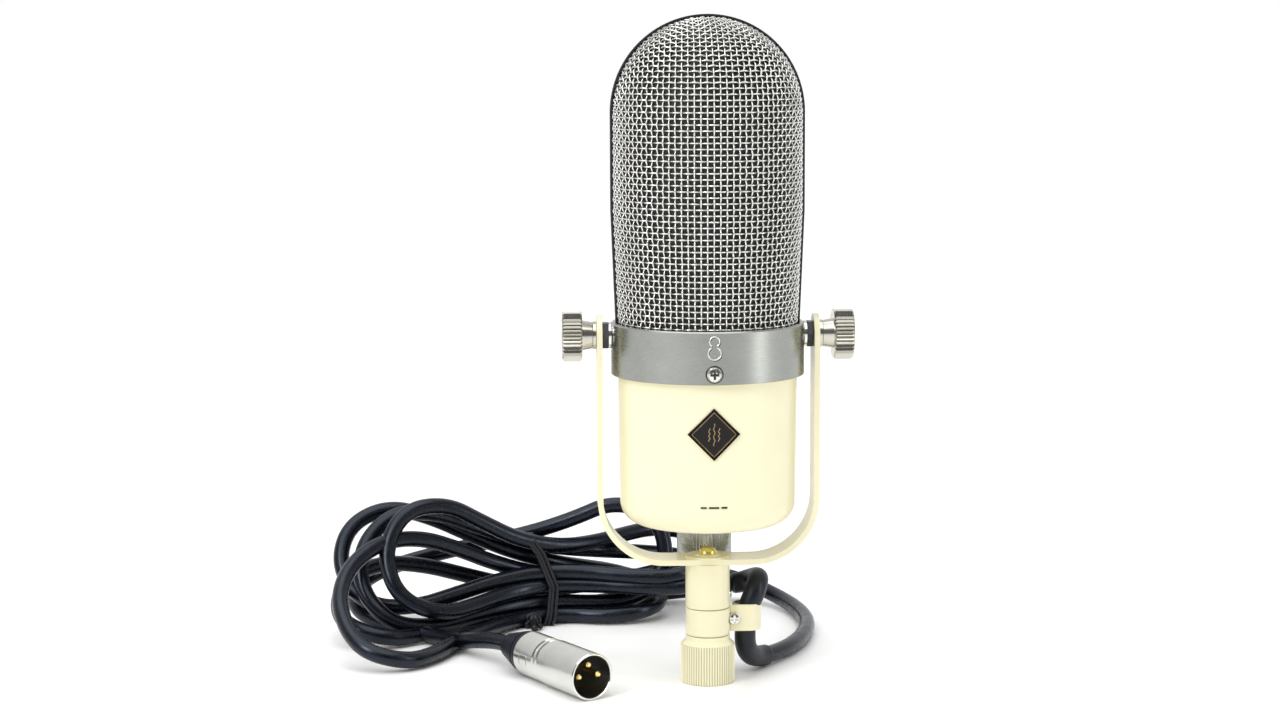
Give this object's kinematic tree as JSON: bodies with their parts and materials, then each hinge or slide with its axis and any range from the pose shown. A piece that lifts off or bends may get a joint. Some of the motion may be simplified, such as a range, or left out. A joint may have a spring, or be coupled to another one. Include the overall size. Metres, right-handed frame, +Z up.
{
  "type": "ribbon microphone",
  "caption": "Round-topped woven-grille ribbon microphone on a U-shaped tilting yoke with clamp knobs, threaded stand base, hanked captive lead and three-pin plug.",
  "frame": {"origin": "centre of the threaded base's bottom face", "axes": "+Z up; the front (badge side) looks along -Y; +X through the clamp knobs, to the right seen from the front"},
  "size_m": [0.2152, 0.1952, 0.2692],
  "materials": {
    "cream_paint": "satin enamel over metal",
    "cream_brass": "lacquered brass dome screw",
    "satin_nickel": "satin nickel with horizontal grain",
    "bright_nickel": "polished nickel",
    "knob_nickel": "ribbed nickel",
    "mesh_steel": "woven bright steel wire",
    "black_trim": "satin black",
    "liner_cloth": "fine dark wire cloth",
    "badge_black": "gloss black",
    "badge_gold": "thin gold rim",
    "motor_steel": "zinc plated",
    "magnet": "sintered",
    "ribbon_foil": "corrugated foil",
    "clamp_brass": "machined",
    "insulator": "laminate",
    "grommet_rubber": "soft",
    "wire_insulation": "insulation",
    "cable_rubber": "satin black",
    "sleeve_rubber": "smooth black",
    "tie_black": "coated wire",
    "plug_nickel": "satin nickel",
    "plug_black": "moulded",
    "pin_gold": "plated",
    "boot_rubber": "moulded"
  },
  "bodies": {
    "stand": {"stand_post": "cream_paint", "post_set_screw": "bright_nickel", "retaining_ring": "motor_steel", "clamp_collar": "cream_paint", "cable_strap": "cream_paint", "clamp_screw": "bright_nickel", "yoke": "cream_paint", "yoke_washer": "cream_paint", "yoke_screw": "cream_brass", "lead_cable": "cable_rubber", "clamp_sleeve": "sleeve_rubber", "cord_run": "cable_rubber", "cord_hank": "cable_rubber", "hank_tie": "tie_black", "cord_tail": "cable_rubber", "plug_shell": "plug_nickel", "plug_insert": "plug_black", "plug_pins": "pin_gold", "plug_boot": "boot_rubber", "plug_collet": "insulator"},
    "base_nut": {"thread_nut": "cream_paint"},
    "left_washer": {"left_knob_washer": "knob_nickel"},
    "left_grip": {"left_knob": "knob_nickel"},
    "right_washer": {"right_knob_washer": "knob_nickel"},
    "right_grip": {"right_knob": "knob_nickel"},
    "mic": {"pivot_studs": "bright_nickel", "pivot_nuts": "black_trim", "pivot_washers": "bright_nickel", "collar_ring": "satin_nickel", "ring_screws": "bright_nickel", "body_cup": "cream_paint", "badge_rim": "badge_gold", "badge_plate": "badge_black", "grille_band": "black_trim", "front_grille": "mesh_steel", "front_liner": "liner_cloth", "rear_grille": "mesh_steel", "rear_liner": "liner_cloth", "cable_gland": "satin_nickel", "gland_bush": "grommet_rubber", "gland_nut": "motor_steel", "chassis_plate": "motor_steel", "motor_posts": "motor_steel", "shock_grommets": "grommet_rubber", "motor_frame": "motor_steel", "motor_screws": "bright_nickel", "left_magnet": "magnet", "left_pole_piece": "motor_steel", "right_magnet": "magnet", "right_pole_piece": "motor_steel", "ribbon": "ribbon_foil", "bottom_ribbon_clamp": "clamp_brass", "top_ribbon_clamp": "clamp_brass", "clamp_insulators": "insulator", "transformer": "motor_steel", "transformer_bracket": "motor_steel", "transformer_screws": "bright_nickel", "ribbon_leads": "wire_insulation", "inner_lead": "cable_rubber"}
  },
  "joints": [
    {"name": "tilt", "type": "hinge", "parent": "stand", "child": "mic", "pos_m": [0, 0, 0.142], "axis": [1, 0, 0], "range_deg": [0, 15], "deforming": ["lead_cable"]},
    {"name": "nut_spin", "type": "hinge", "parent": "stand", "child": "base_nut", "pos_m": [0, 0, 0.016], "axis": [0, 0, 1], "continuous": true},
    {"name": "left_washer_slide", "type": "slide", "parent": "mic", "child": "left_washer", "axis": [-1, 0, 0], "range_m": [0, 0.002]},
    {"name": "left_knob_turn", "type": "hinge", "parent": "left_washer", "child": "left_grip", "pos_m": [-0.05, 0, 0.142], "axis": [-1, 0, 0], "range_deg": [0, 720]},
    {"name": "right_washer_slide", "type": "slide", "parent": "mic", "child": "right_washer", "axis": [1, 0, 0], "range_m": [0, 0.002]},
    {"name": "right_knob_turn", "type": "hinge", "parent": "right_washer", "child": "right_grip", "pos_m": [0.05, 0, 0.142], "axis": [1, 0, 0], "range_deg": [0, 720]}
  ],
  "couplings": [
    {"joint": "left_knob_turn", "follows": "left_washer_slide", "rad_per_m": 6283.2},
    {"joint": "right_knob_turn", "follows": "right_washer_slide", "rad_per_m": 6283.2}
  ]
}
